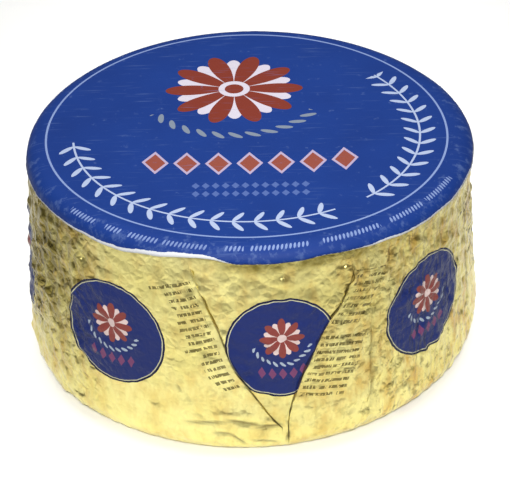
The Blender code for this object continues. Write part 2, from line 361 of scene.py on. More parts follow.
# count, crowding, its share at the foot, arcs, half lengths, half widths, slopes, lean and its spread
SHARED_FAMILIES = (
    (560, BROAD_FRONT, 1, WHOLE_SIDE, (0.008, 0.026), (0.0024, 0.0055), (0.05, 0.14), 0, 60),
    (420, STREAKED_RIGHT, 1, WHOLE_SIDE, (0.006, 0.024), (0.0015, 0.0036), (0.09, 0.20), 84, 12),
    (420, EVERYWHERE, 1, (0.180, 0.200), (0.003, 0.010), (0.0012, 0.0026), (0.12, 0.22), 85, 30),
    (360, SMOOTH_FRONT_LEFT, 1, (0.099, 0.110), (0.002, 0.007), (0.0009, 0.0020), (0.07, 0.15), 85, 22),
)
FOOT_SHARE = 0.4
SMALL_CRUMPLES = (FOOT_SHARE, WHOLE_SIDE, (0.0020, 0.0060), (0.0018, 0.0045), (0.08, 0.24), 75, 45)
SMALL_COUNT = 4800
FINE_LINES = (0.6, WHOLE_SIDE, (0.003, 0.012), (0.0007, 0.0011), (0.05, 0.14), 60, 50)
FINE_COUNT = 700
LONGEST_WAVE = 0.014

# %% [markdown]
# Some creases of the front and the right side are long or deep enough to be seen one by one. They are
# laid singly, each between its two ends. The two sides of a sharp valley nearly touch and let little
# light in, so a second lattice keeps where such dark bottoms run, and shade is painted there in the foil's
# colour.

# %% Single creases
# in degrees and metres: the start and its height, the end and its height, the half width, the rise,
# and how dark the painted shade at the bottom of the valley is
PLACED_CREASES = (
    (-108.0, 0.0172, -96.6, 0.0195, 0.0016, -0.00050, 1.1),
    (-97.6, 0.0203, -89.6, 0.0172, 0.0017, -0.00070, 1.4),
    (-90.6, 0.0158, -84.2, 0.0166, 0.0020, -0.00110, 1.5),
    (-104.0, 0.0228, -86.0, 0.0218, 0.0030, 0.00060, 0),
    (-101.2, 0.0134, -96.6, 0.0129, 0.0015, -0.00080, 0.9),
    (-97.4, 0.0132, -93.0, 0.0066, 0.0016, -0.00090, 1.1),
    (-92.0, 0.0092, -85.2, 0.0068, 0.0016, -0.00060, 1.0),
    (-83.8, 0.0186, -82.2, 0.0150, 0.0016, -0.00060, 0.6),
    (-82.7, 0.0135, -83.4, 0.0065, 0.0015, -0.00075, 0.9),
    (-82.0, 0.0165, -76.0, 0.0130, 0.0018, 0.00055, 0),
    (-109.7, 0.0358, -108.7, 0.0318, 0.0015, -0.00060, 0.8),
    (-107.5, 0.0325, -106.2, 0.0265, 0.0013, -0.00040, 0.35),
    (-105.4, 0.0225, -103.0, 0.0204, 0.0014, -0.00050, 0.4),
    (-93.2, 0.0838, -91.6, 0.0798, 0.0014, -0.00060, 0.9),
    (-104.8, 0.0930, -103.0, 0.0905, 0.0012, -0.00040, 0.6),
    (-102.2, 0.0897, -101.5, 0.0865, 0.0012, -0.00040, 0.6),
    (-113.2, 0.0716, -111.0, 0.0700, 0.0013, -0.00050, 0.7),
    (-67.6, 0.0803, -66.0, 0.0775, 0.0014, -0.00060, 0.8),
    (-60.4, 0.0640, -61.0, 0.0080, 0.0013, -0.00090, 0.8),
    (-59.2, 0.0600, -59.6, 0.0220, 0.0014, 0.00045, 0),
    (-54.0, 0.0153, -47.6, 0.0206, 0.0016, -0.00060, 0.9),
    (-18.4, 0.0620, -17.4, 0.0260, 0.0015, -0.00060, 0.9),
    (-21.0, 0.0880, -19.6, 0.0640, 0.0014, -0.00050, 0.8),
    (-113.0, 0.0880, -108.5, 0.0600, 0.0012, -0.00030, 0),
    (-97.0, 0.0900, -94.0, 0.0740, 0.0012, 0.00040, 0),
    (-90.0, 0.0830, -82.0, 0.0790, 0.0010, -0.00035, 0.3),
)
DARK_HALF_WIDTH = 0.0011
DARK_LENGTH = 1.3


def height_to_arc(height):
    """The arc down the outline where the side has this height."""
    return np.interp(-height, -ring_height, ring_arc)


def add_placed(relief, dark):
    """Lays the single creases on the relief, each between its two ends, and the painted shade of their
    bottoms on dark.
    """
    for start, start_height, end, end_height, half_width, rise, darkness in PLACED_CREASES:
        start_arc = height_to_arc(start_height)
        end_arc = height_to_arc(end_height)
        middle_arc = (start_arc + end_arc) / 2
        middle = math.radians(start + end) / 2
        across = math.radians(end - start) * TOP_RADIUS
        down = end_arc - start_arc
        half_length = math.hypot(across, down) / 2
        turn = math.atan2(down, across)
        lay_crease(relief, middle, middle_arc, half_length, half_width, rise, turn)
        lay_crease(dark, middle, middle_arc, DARK_LENGTH * half_length, DARK_HALF_WIDTH, darkness, turn)


# %% Lay every crease
SHARED_SEED = 11
# the seed, and where small crumples crowd: for the flaps, and for the panel between them
LAYERS = ((17, CRUMPLED_LEFT), (23, CRUMPLED_PANEL))
shared_random = np.random.default_rng(SHARED_SEED)
shared_creases = np.zeros((LATTICE_ROWS, LATTICE_COLUMNS))
crease_shade_lattice = np.zeros_like(shared_creases)
for family in SHARED_FAMILIES:
    lay_family(shared_creases, shared_random, *family)
add_placed(shared_creases, crease_shade_lattice)
layer_creases = []
for seed, crowding in LAYERS:
    layer_random = np.random.default_rng(seed)
    lattice = shared_creases.copy()
    lay_family(lattice, layer_random, SMALL_COUNT, crowding, *SMALL_CRUMPLES)
    lay_family(lattice, layer_random, FINE_COUNT, SMOOTH_FRONT_LEFT, *FINE_LINES)
    layer_creases.append(without_broad(lattice, LONGEST_WAVE))
flap_creases, panel_creases = layer_creases
print("crease relief in mm:", (MM * flap_creases.min()).round(2), "to", (MM * flap_creases.max()).round(2))


def read_lattice(lattice, angle, arc):
    """The lattice's value at each angle and arc, from the four cells around it.

    Rows stop just short of the last one, so that there is always one below."""
    column = angle * TOP_RADIUS / CELL
    row = np.clip((arc - LATTICE_TOP) / CELL, 0, LATTICE_ROWS - 1.001)
    left = np.floor(column).astype(int)
    above = np.floor(row).astype(int)
    right_share = column - left
    below_share = row - above
    total = 0
    for rows, row_share in ((above, 1 - below_share), (above + 1, below_share)):
        for columns, column_share in ((left, 1 - right_share), (left + 1, right_share)):
            total = total + row_share * column_share * lattice[rows, columns % LATTICE_COLUMNS]
    return total


# %% [markdown]
# ## The foil
# All rings and columns together make one closed skin: a grid round the wheel with a point at the middle
# of its top and of its base. Each point goes off the outline, square to it, by the flap's stand, broad
# dents and creases. Three flat maps are kept with the mesh for the print: the place round each printed
# disc, the place round the disc that the left corner's fold cuts off, and the distances from the nearest
# folds. They are measured on the sheet, so that the folds cut the print as they do on a real pack.
# Single values are kept as well, for how crumpled and streaked the foil is, and for the shade painted on it.

# %% Build a closed skin from a grid
DENT_DEPTH = 0.0003
DENT_WAVES = 9
DENT_SEED = 7
MOST_AROUND = 15
LEAST_AROUND = 5
MOST_UPWARD = 60


def dents(angle, height):
    """Broad dents: a sum of cosines round and up the wheel, none longer than a fifth of the way round."""
    random = np.random.default_rng(DENT_SEED)
    depth = np.zeros_like(angle)
    for _ in range(DENT_WAVES):
        around = random.integers(LEAST_AROUND, MOST_AROUND)
        upward = random.uniform(-MOST_UPWARD, MOST_UPWARD)
        start = random.uniform(0, 2 * math.pi)
        depth += np.cos(around * angle + upward * height + start)
    return DENT_DEPTH * depth / math.sqrt(DENT_WAVES)


def closed_skin(name, points, top, base):
    """A mesh object from a grid of points, rings by columns, closed round its columns and at both ends.

    Rings run down and columns run round against the clock, seen from above, so faces point outwards."""
    rings, columns = points.shape[:2]
    index = 1 + np.arange(rings * columns).reshape(rings, columns)
    beside = np.roll(index, -1, axis=1)
    quads = np.stack([index[:-1], index[1:], beside[1:], beside[:-1]], axis=-1).reshape(-1, 4)
    base_index = rings * columns + 1
    top_fan = np.stack([np.zeros(columns, int), index[0], beside[0]], axis=-1)
    base_fan = np.stack([np.full(columns, base_index), beside[-1], index[-1]], axis=-1)
    everywhere = np.concatenate([[top], points.reshape(-1, 3), [base]])
    mesh = bpy.data.meshes.new(name)
    mesh.from_pydata(everywhere.tolist(), [], quads.tolist() + top_fan.tolist() + base_fan.tolist())
    mesh.shade_smooth()
    made = bpy.data.objects.new(name, mesh)
    bpy.context.scene.collection.objects.link(made)
    print(name, "faces:", len(mesh.polygons))
    return made


def keep_map(obj, name, first, second):
    """Stores two values for each grid point as a flat map. The end points take the mean of their ring."""
    pair = np.stack([first, second], axis=-1)
    everywhere = np.concatenate([[pair[0].mean(axis=0)], pair.reshape(-1, 2), [pair[-1].mean(axis=0)]])
    corner_vertex = np.empty(len(obj.data.loops), int)
    obj.data.loops.foreach_get("vertex_index", corner_vertex)
    flat = obj.data.uv_layers.new(name=name)
    flat.data.foreach_set("uv", everywhere[corner_vertex].astype(np.float32).ravel())


def keep_value(obj, name, value):
    """Stores one value for each grid point."""
    everywhere = np.concatenate([[value[0].mean()], value.ravel(), [value[-1].mean()]])
    kept = obj.data.attributes.new(name, "FLOAT", "POINT")
    kept.data.foreach_set("value", everywhere.astype(np.float32))


# %% How far each point lies from the folds and the printed discs
PANEL_DISC_HEIGHT = 0.0545
PANEL_DISC_ASIDE = 0.0012
FLAP_DISC_HEIGHT = 0.0523
# a flap's disc is measured this much short round the side, so it is printed that much wider
FLAP_DISC_SHARE = 0.93
RIGHT_DISCS = np.radians((43.2, 45.0, 45.0, 47.2))
CUT_DISC_CORNER = 3
CUT_DISC_OFFSET = math.radians(-1.0)
CUT_DISC_HEIGHT = 0.0475
# further off than any disc reaches
FAR_OFF = 0.05
arc = ring_arc[:, None]
height = ring_height[:, None]
radius = ring_radius[:, None]


def print_distances(corner, offset, layer):
    """Distances round the side at each point of a quarter: radius times the difference of two angles.

    They run from the middle of the disc that shows there, from the middle of the disc that the left
    corner's fold cuts off, past the nearest right fold, and up to the nearest left one."""
    left, right = fold_angles(height, CORNER_SPREADS[corner])
    left_after = fold_angles(height, CORNER_SPREADS[(corner + 1) % 4])[0] + QUARTER
    right_before = fold_angles(height, CORNER_SPREADS[corner - 1])[1] - QUARTER
    on_panel = layer == 1
    on_left = ~on_panel & (offset < 0.5 * (left + right))
    on_right = ~on_panel & ~on_left
    disc_offset = np.where(on_left, RIGHT_DISCS[corner - 1] - QUARTER, RIGHT_DISCS[corner])
    from_flap_disc = FLAP_DISC_SHARE * radius * (offset - disc_offset)
    from_disc = np.where(on_panel, radius * offset - PANEL_DISC_ASIDE, from_flap_disc)
    from_cut = np.clip(FLAP_DISC_SHARE * radius * (offset - CUT_DISC_OFFSET), None, FAR_OFF)
    from_cut = np.where(on_right & (corner == CUT_DISC_CORNER), from_cut, FAR_OFF)
    past_right = radius * (offset - np.where(on_left, right_before, right))
    past_left = radius * (np.where(on_left | on_panel, left, left_after) - offset)
    return from_disc, from_cut, past_right, past_left


quarters = []
for corner in range(4):
    offset, stand, layer, groove = quarter_columns(corner)
    angle = FRONT_CORNER + corner * QUARTER + offset
    quarters.append((angle, stand, layer, groove, *print_distances(corner, offset, layer)))
columns = [np.concatenate(part, axis=1) for part in zip(*quarters)]
angle, stand, layer, groove, from_disc, from_cut, past_right, past_left = columns
print("rings and columns of the foil:", angle.shape)

# %% Raise the foil's points off the outline and close the skin
RELIEF_TOP = 0.0945
RELIEF_TOP_LENGTH = 0.0060
RELIEF_FOOT_LENGTH = 0.0070
RELIEF_SINK = 0.0004
on_panel = layer == 1
disc_arc = height_to_arc(np.where(on_panel, PANEL_DISC_HEIGHT, FLAP_DISC_HEIGHT))
cut_arc = height_to_arc(CUT_DISC_HEIGHT) + 0 * from_cut
out_radius = -np.gradient(ring_height, ring_arc)[:, None]
out_height = np.gradient(ring_radius, ring_arc)[:, None]
creased = np.where(on_panel, read_lattice(panel_creases, angle, arc), read_lattice(flap_creases, angle, arc))
creased = creased - RELIEF_SINK
creased = creased * smooth((RELIEF_TOP - height) / RELIEF_TOP_LENGTH) * smooth(height / RELIEF_FOOT_LENGTH)
raised = stand + fade(height) * dents(angle, height + 0 * angle) + creased
at_radius = radius + raised * out_radius
at_height = np.clip(height + raised * out_height, 0, None)
points = settled(at_radius, angle, at_height)
# the middle of the dressed wheel's box goes on the middle of the solid's
flat_points = points.reshape(-1, 3)
MIDDLE = (flat_points.min(axis=0) + flat_points.max(axis=0)) / 2 - sum(np.array(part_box("foil_wheel"))) / 2
MIDDLE[2] = 0
points = points - MIDDLE
top_point = settled(0.0, 0.0, WHEEL_HEIGHT) - MIDDLE
base_point = settled(0.0, 0.0, 0.0) - MIDDLE
foil = closed_skin("foil_wrap", points, top_point, base_point)
keep_map(foil, "print_place", from_disc, disc_arc - arc)
keep_map(foil, "cut_print_place", from_cut, cut_arc - arc)
keep_map(foil, "fold_place", past_right, past_left)
print("foil box in mm:", (MM * points.min(axis=(0, 1))).round(1), (MM * points.max(axis=(0, 1))).round(1))

# %% Where the foil is crumpled or streaked, and where shade is painted on it
# painted shade round the wheel, in degrees and shares: darkest on the left, none at the front left
SHADE_AROUND = (
    (-180, 1.0), (-158, 1.2), (-147, 0.95), (-137, 0.55), (-128, 0.15), (-118, 0.0), (-100, 0.0), (-88, 0.25),
    (-70, 0.3), (-30, 0.5), (90, 0.5),
)
SHADE_LOW = 0.005
SHADE_HIGH = 0.070
SHADE_FOOT = 0.25
# painted shadow on the foil just under the label's edge, in degrees and shares
EDGE_SHADE = ((-180, 0.3), (-125, 0), (-100, 0), (-96, 0.7), (-64, 0.7), (-58, 0.2), (0, 0.3))
EDGE_SHADE_TOP = 0.0935
EDGE_SHADE_LENGTH = 0.0045
# the painted shade is a quarter as strong low on the side, and full from 7 cm up
shade_up = SHADE_FOOT + (1 - SHADE_FOOT) * smooth((height - SHADE_LOW) / (SHADE_HIGH - SHADE_LOW))
at_label = smooth(1 - (EDGE_SHADE_TOP - height) / EDGE_SHADE_LENGTH)
painted_shade = shade_up * by_degrees(angle, SHADE_AROUND) + at_label * by_degrees(angle, EDGE_SHADE)
keep_value(foil, "crumpled", by_degrees(angle, CRUMPLED_LEFT) * calmer_below(arc, FOOT_SHARE))
keep_value(foil, "streaked", by_degrees(angle, STREAKED_RIGHT))
# where shade is painted at the bottoms of pressed valleys
keep_value(foil, "pressed", np.clip(read_lattice(crease_shade_lattice, angle, arc), 0, 1))
keep_value(foil, "painted_shade", painted_shade)
# the groove marks where shade is painted in the folds' grooves
keep_value(foil, "groove", groove)
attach(foil, "root")
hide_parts("foil_wheel")
print("deep tone:", painted_shade.min().round(2), "to", painted_shade.max().round(2))


# %% [markdown]
# ## The label
# The label is a flat disc of coated paper about 20 cm across, laid a little off the middle and pressed
# down over the shoulder. A cloth simulation could press it down, but a formula places it exactly: each
# of its points is a place on the flat disc, laid as far down the outline as it lies from the middle, so
# its own flat place serves as the map for the print. Flat paper that is bent down over a round edge has
# spare length at its rim, so it puckers, and in places it springs off the foil. Its outer face, the cut
# edge and its underside are one closed skin. The cut isn't quite true: the rim is shorter at the front
# left, and the white margin outside the print is widest there.

# %% Lay a point of the flat label on the wheel
LABEL_RADIUS = 0.1003
LABEL_THICKNESS = 0.0004
LABEL_GAP = 0.0003
LABEL_SHIFT_X = -0.0014
LABEL_SHIFT_Y = 0.0008


def on_outline(arc, stand):
    """Radius and height of points an arc's length down the outline, standing off it square to it."""
    every = np.concatenate([[0], ring_arc])
    every_radius = np.concatenate([[0], ring_radius])
    every_height = np.concatenate([[WHEEL_HEIGHT], ring_height])
    out = np.gradient(every_radius, every)
    down = -np.gradient(every_height, every)
    lean = np.arctan2(np.interp(arc, every, down), np.interp(arc, every, out))
    at_radius = np.interp(arc, every, every_radius) + stand * np.sin(lean)
    at_height = np.interp(arc, every, every_height) + stand * np.cos(lean)
    return at_radius, at_height


def on_wheel(flat_x, flat_y, stand):
    """The place on the settled wheel of a point of the flat label."""
    x = flat_x + LABEL_SHIFT_X
    y = flat_y + LABEL_SHIFT_Y
    at_radius, at_height = on_outline(np.hypot(x, y), stand)
    return settled(at_radius, np.arctan2(y, x), at_height) - MIDDLE


# %% The label's rim and margin
LABEL_COLUMNS = 600
INNER_RINGS = np.linspace(0.010, 0.080, 15)
RIM_START = 0.082
RIM_RINGS = 20
# how many waves go round, and their height
EDGE_WAVES = ((2, 0.0004), (5, 0.0005), (9, 0.0004), (23, 0.00015), (41, 0.0001))
# in degrees and millimetres: how wide the white margin is, and how much shorter the rim is
MARGIN = (
    (-180, 0.3), (-145, 0.6), (-132, 1.2), (-122, 1.6), (-108, 1.6), (-99, 0.9), (-94, 0), (-66, 0),
    (-58, 0.8), (-20, 0.8), (60, 0.4),
)
SHORT_BY = (
    (-165, 0), (-150, -0.8), (-135, 0), (-122, 0), (-110, 2.0), (-103, 2.7), (-98, 2.4), (-92, 1.0),
    (-84, 0), (-50, 0), (-30, -0.9), (-10, 0),
)
LABEL_SEED = 5
label_random = np.random.default_rng(LABEL_SEED)
column_angle = np.linspace(-math.pi, math.pi, LABEL_COLUMNS, endpoint=False)


def waves(angle, parts):
    """A sum of sines round the label, each with its count and height, started at a drawn place."""
    return sum(size * np.sin(count * angle + label_random.uniform(0, 2 * math.pi)) for count, size in parts)


def near(angle, middle, width):
    """1 at an angle, falling to 0 on a bell curve that is about width wide."""
    apart = np.angle(np.exp(1j * (angle - middle)))
    return np.exp(-(apart / width) ** 2)


rim_radius = LABEL_RADIUS + waves(column_angle, EDGE_WAVES) - by_degrees(column_angle, SHORT_BY) / MM
margin = by_degrees(column_angle, MARGIN) / MM
rim_share = np.linspace(0, 1, RIM_RINGS)[:, None]
inner = INNER_RINGS[:, None] + 0 * rim_radius[None, :]
rim = RIM_START + rim_share * (rim_radius - RIM_START)
face_radius = np.concatenate([inner, rim])
print("label radius in mm:", np.round(MM * rim_radius.min(), 1), "to", np.round(MM * rim_radius.max(), 1))

# %% The label's puckers and faces
PUCKER_START = 0.089
PUCKER_WAVES = (37, 53, 71)
PUCKER_HEIGHT = 0.00010
PUCKER_PATCHES = ((3, 0.5), (7, 0.5))
RIM_LIFT = 0.0001
# where the paper springs off, in degrees, how wide, and how far in metres
SPRUNG = ((-109, 10, 0.0004), (-52, 9, 0.0002), (24, 14, 0.0004), (118, 16, 0.0004))
# the cut edge counts as this far inside the print, less the margin, so it is white where there is one
EDGE_INK = 0.00035
pucker = waves(column_angle, [(count, PUCKER_HEIGHT) for count in PUCKER_WAVES])
pucker = pucker * waves(column_angle, PUCKER_PATCHES)
sprung = sum(lift * near(column_angle, math.radians(at), math.radians(width)) for at, width, lift in SPRUNG)
at_rim = smooth((face_radius - PUCKER_START) / (LABEL_RADIUS - PUCKER_START))
stand = LABEL_GAP + at_rim * (np.abs(pucker) + RIM_LIFT) + at_rim ** 2 * sprung
flat_x = face_radius * np.cos(column_angle)
flat_y = face_radius * np.sin(column_angle)
outer = on_wheel(flat_x, flat_y, stand + LABEL_THICKNESS)
under = on_wheel(flat_x, flat_y, stand)[::-1]
label_points = np.concatenate([outer, under])
middle_x, middle_y = np.zeros(1), np.zeros(1)
label_top = on_wheel(middle_x, middle_y, LABEL_GAP + LABEL_THICKNESS)[0]
label_base = on_wheel(middle_x, middle_y, LABEL_GAP)[0]
label = closed_skin("label_paper", label_points, label_top, label_base)
keep_map(label, "flat_place", np.concatenate([flat_x, flat_x[::-1]]), np.concatenate([flat_y, flat_y[::-1]]))
in_print = rim_radius - margin - face_radius
keep_value(label, "in_print", np.concatenate([in_print, 0 * in_print + EDGE_INK - margin]))
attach(label, "root")
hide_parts("top_label")
for name, piece in (("foil_wheel", foil), ("top_label", label)):
    solid = MM * np.array(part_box(name))
    dressed = MM * np.array(piece.bound_box)
    ends = [dressed.min(axis=0).round(1).tolist(), dressed.max(axis=0).round(1).tolist()]
    print(name, "solid in mm", solid.round(1).tolist(), "dressed", ends)

# %% [markdown]
# ## Materials
# Inks and lacquers are given as the hex colours that a printer would name, and one function turns them
# to the linear values that a shader works with. One more function adds a node with its settings and
# links. Places are turned to millimetres first, on the object and on the flat maps alike, so that the
# scale of a pattern is one over its real size.

# %% Colours, nodes and places
def linear(colour):
    """An sRGB hex colour as linear red, green, blue and alpha: the standard curve with its straight foot."""
    parts = [int(colour[i:i + 2], 16) / 255 for i in (1, 3, 5)]
    return [p / 12.92 if p <= 0.04045 else ((p + 0.055) / 1.055) ** 2.4 for p in parts] + [1.0]


def add(tree, kind, inputs=(), output=None, **settings):
    """Adds a shader node with its settings, and fills its sockets with values or other nodes' outputs.

    inputs names or numbers its sockets, or lists what they get in order. Returns the output asked for, or
    else the first that is in use."""
    made = tree.nodes.new("ShaderNode" + kind)
    for name, value in settings.items():
        setattr(made, name, value)
    for name, value in inputs.items() if isinstance(inputs, dict) else enumerate(inputs):
        in_use = [socket for socket in made.inputs if socket.enabled]
        socket = in_use[name] if isinstance(name, int) else next(s for s in in_use if s.name == name)
        if isinstance(value, bpy.types.NodeSocket):
            tree.links.new(value, socket)
        else:
            socket.default_value = value
    return made.outputs[output] if output else next(s for s in made.outputs if s.enabled)


def new_material(name):
    """An empty material, its node tree and its output node's surface socket."""
    made = bpy.data.materials.new(name)
    made.use_nodes = True
    made.node_tree.nodes.clear()
    surface = made.node_tree.nodes.new("ShaderNodeOutputMaterial").inputs["Surface"]
    return made, made.node_tree, surface


def in_mm(tree, flat_map=None):
    """The place on the object, or on one of its flat maps, in millimetres."""
    place = add(tree, "UVMap", uv_map=flat_map) if flat_map else add(tree, "TexCoord", output="Object")
    return add(tree, "VectorMath", {0: place, "Scale": MM}, operation="SCALE")


def patches(tree, at, size, detail, levels, values=(0.0, 1.0), roughness=0.5):
    """Noise of a size in mm: what lies between two of its levels is spread between two values."""
    noise = add(tree, "TexNoise", {"Vector": at, "Scale": 1 / size, "Detail": detail, "Roughness": roughness})
    ends = {"From Min": levels[0], "From Max": levels[1], "To Min": values[0], "To Max": values[1]}
    return add(tree, "MapRange", {"Value": noise, **ends})


# %% [markdown]
# ## Printed motifs
# The print is worked out and not painted: each motif is a mask of 0 and 1 over a flat map in
# millimetres. A rosette's petals reach as far as a power of a cosine of the angle allows. An oval is a
# circle in a stretched and turned place. A border bends the plane into a strip round a ring, so that
# one leaf repeats all the way. The motifs are plain traditional ones, in the colours of such a pack.

# %% Masks and inks
def all_of(tree, *masks):
    """Where every mask is 1: their product."""
    total = masks[0]
    for mask in masks[1:]:
        total = add(tree, "Math", [total, mask], operation="MULTIPLY")
    return total


def any_of(tree, *masks):
    """Where some mask is 1: their maximum."""
    total = masks[0]
    for mask in masks[1:]:
        total = add(tree, "Math", [total, mask], operation="MAXIMUM")
    return total


def printed(tree, under, layers):
    """Lays inks one over another on a colour: each layer is a mask and a hex colour."""
    colour = under
    for mask, ink in layers:
        colour = add(tree, "Mix", {"Factor": mask, "A": colour, "B": linear(ink)}, data_type="RGBA")
    return colour


# %% Motifs
LOWER_PETALS = 0.86
WELL_OUTSIDE = 9.0


def rosette(tree, at, radius, petals, fullness):
    """Masks of the upper and the lower petals: distance below radius times |cosine| or |sine| to a power."""
    part = add(tree, "SeparateXYZ", [at]).node.outputs
    angle = add(tree, "Math", [part["Y"], part["X"]], operation="ARCTAN2")
    turned = add(tree, "Math", [angle, petals / 2], operation="MULTIPLY")
    distance = add(tree, "VectorMath", [at], "Value", operation="LENGTH")
    masks = []
    for wave, reach in (("COSINE", radius), ("SINE", LOWER_PETALS * radius)):
        share = add(tree, "Math", [turned], operation=wave)
        share = add(tree, "Math", [share], operation="ABSOLUTE")
        share = add(tree, "Math", [share, fullness], operation="POWER")
        edge = add(tree, "Math", [share, reach], operation="MULTIPLY")
        masks.append(add(tree, "Math", [distance, edge], operation="LESS_THAN"))
    return masks


def oval(tree, at, place, degrees, half_size):
    """The mask of an oval: within 1 of its middle once its place is moved, turned and shrunk back."""
    lie = {"Location": (*place, 0), "Rotation": (0, 0, math.radians(degrees)), "Scale": (*half_size, 1)}
    local = add(tree, "Mapping", {"Vector": at, **lie}, vector_type="TEXTURE")
    distance = add(tree, "VectorMath", [local], "Value", operation="LENGTH")
    return add(tree, "Math", [distance, 1.0], operation="LESS_THAN")


def dot(tree, at, radius):
    """The mask of a round dot in the middle."""
    return oval(tree, at, (0, 0), 0, (radius, radius))


def round_border(tree, at, radius, count):
    """Bends the plane into a strip round a ring: place in one repeat, distance out from the ring, angle."""
    part = add(tree, "SeparateXYZ", [at]).node.outputs
    angle = add(tree, "Math", [part["Y"], part["X"]], operation="ARCTAN2")
    repeat = add(tree, "Math", [angle, count / (2 * math.pi)], operation="MULTIPLY")
    share = add(tree, "Math", [repeat], operation="FRACT")
    pitch = 2 * math.pi * radius / count
    along = add(tree, "Math", [share, pitch, -pitch / 2], operation="MULTIPLY_ADD")
    distance = add(tree, "VectorMath", [at], "Value", operation="LENGTH")
    out = add(tree, "Math", [distance, radius], operation="SUBTRACT")
    return add(tree, "CombineXYZ", {"X": along, "Y": out}), out, angle


def flower(tree, at, radius, petals, fullness, ring, leaves, leaf_turn, leaf_size, half_turn):
    """Masks of a rosette's upper and lower petals, and of slanting leaves along an arc of a ring below it."""
    upper, lower = rosette(tree, at, radius, petals, fullness)
    border, _, angle = round_border(tree, at, ring, leaves)
    leaf = oval(tree, border, (0, 0), leaf_turn, leaf_size)
    below = add(tree, "Math", [angle, -math.pi / 2, half_turn], operation="COMPARE")
    return upper, lower, all_of(tree, leaf, below)


def lozenge_row(tree, at, middle, pitch, count, half_size, bow):
    """How far off its lozenge of a row a point is, 1 at the outline: |x| / a + |y| / b, on a slight bow."""
    moved = add(tree, "VectorMath", [at, (-middle[0], -middle[1], 0)], operation="ADD")
    part = add(tree, "SeparateXYZ", [moved]).node.outputs
    half = count * pitch / 2
    local = add(tree, "Math", [part["X"], -half, pitch - half], operation="WRAP")
    local = add(tree, "Math", [local, pitch / 2 - half], operation="SUBTRACT")
    square = add(tree, "Math", [part["X"], part["X"]], operation="MULTIPLY")
    raised = add(tree, "Math", [square, -bow, part["Y"]], operation="MULTIPLY_ADD")
    corner = add(tree, "CombineXYZ", {"X": local, "Y": raised})
    corner = add(tree, "VectorMath", [corner], operation="ABSOLUTE")
    per_size = (1 / half_size[0], 1 / half_size[1], 0)
    distance = add(tree, "VectorMath", [corner, per_size], "Value", operation="DOT_PRODUCT")
    inside = add(tree, "Math", [part["X"], 0.0, half], operation="COMPARE")
    far = add(tree, "Math", [inside, -WELL_OUTSIDE, WELL_OUTSIDE], operation="MULTIPLY_ADD")
    return add(tree, "Math", [distance, far], operation="ADD")


# %% [markdown]
# ## Gold foil
# The foil is aluminium, rolled bright and lacquered with a clear yellow. A metal shows its colour only
# in what it mirrors, so the shader is fully metallic with a pale yellow base and a middling roughness.
# Yellow paint under a glossy coat would be simpler, but its creases wouldn't go dark and bright as a
# metal's do. The lacquer isn't even: it is tan in patches where the foil was worked, and finely mottled
# where it is crumpled or streaked. Shade is painted on it as well: darker on the left, up the side and
# along the label, and dark in the folds' grooves and the bottoms of the deepest valleys, which are nearly
# shut.
# Creases finer than the mesh break up the reflection. They are bumped as cells, 6, 3.4 and 1.7 mm wide
# where the foil is crumpled, and drawn out upwards, 4.4 and 2.2 mm wide, where it is streaked. The discs
# are opaque ink, which hides the metal. The small rows beside the folds are drawn as broken dashes in a
# thin ink that the metal shines through, and they are worn where the foil is mottled.

# %% The foil's printed discs
DISC_RADIUS = 23.9
SILVER_INWARD = 1.1
SILVER_HALF_WIDTH = 0.22
FILL_INWARD = 1.3
DISC_FLOWER_UP = 4.5
INK_DISC = "#1D285B"
INK_OUTLINE = "#141833"
INK_SILVER = "#A8A68A"
INK_BRICK = "#773934"
INK_BLUSH = "#C1ADA9"
INK_PLUM = "#683A5C"
INK_GREY = "#8F9AA8"


def foil_disc(tree, at):
    """The layers of ink of one printed disc, and the mask of the whole disc."""
    distance = add(tree, "VectorMath", [at], "Value", operation="LENGTH")
    whole = add(tree, "Math", [distance, DISC_RADIUS], operation="LESS_THAN")
    ring = [distance, DISC_RADIUS - SILVER_INWARD, SILVER_HALF_WIDTH]
    silver = add(tree, "Math", ring, operation="COMPARE")
    fill = add(tree, "Math", [distance, DISC_RADIUS - FILL_INWARD], operation="LESS_THAN")
    flower_at = add(tree, "VectorMath", [at, (0.0, -DISC_FLOWER_UP, 0.0)], operation="ADD")
    upper, lower, leaves = flower(tree, flower_at, radius=9.5, petals=8, fullness=0.6, ring=12.6, leaves=26,
                                  leaf_turn=35, leaf_size=(1.5, 0.55), half_turn=1.25)
    eye = dot(tree, flower_at, radius=1.9)
    row = lozenge_row(tree, at, middle=(0, -12.6), pitch=4.4, count=5, half_size=(1.7, 2.8), bow=0.012)
    lozenges = add(tree, "Math", [row, 1.0], operation="LESS_THAN")
    layers = ((whole, INK_OUTLINE), (silver, INK_SILVER), (fill, INK_DISC), (leaves, INK_GREY),
              (lower, INK_BLUSH), (upper, INK_BRICK), (eye, INK_BLUSH), (lozenges, INK_PLUM))
    return layers, whole


# %% The foil's small rows
INK_ROWS = "#5C532D"
ROW_PITCH = 3.2
# in shares of the pitch
ROW_HALF_HEIGHT = 0.22
# steps through the noise from row to row, and from the foot to the top of one
ROW_APART = 7.7
ROW_UNEVEN = 1.3
ROW_END_RAGGED = 4.0
# noise steps for each mm along a row, and the level that it has to pass where there is ink
DASHES = (1.1, 0.41)
WIDE_GAPS = (0.2, 0.31)
# which fold (X is past the right one and Y before the left one), how much the rows lean, between which
# distances from the fold, and between which heights over the middle of the disc
ROW_BLOCKS = (
    ("X", 0.19, (1.5, 19.0), (9.0, 33.5)),
    ("X", 0.19, (1.5, 25.0), (-22.5, 6.0)),
    ("Y", 0.29, (2.0, 26.0), (31.5, 34.5)),
    ("Y", 0.29, (2.5, 18.0), (4.0, 31.5)),
    ("Y", 0.29, (2.5, 13.0), (-15.0, 4.0)),
)


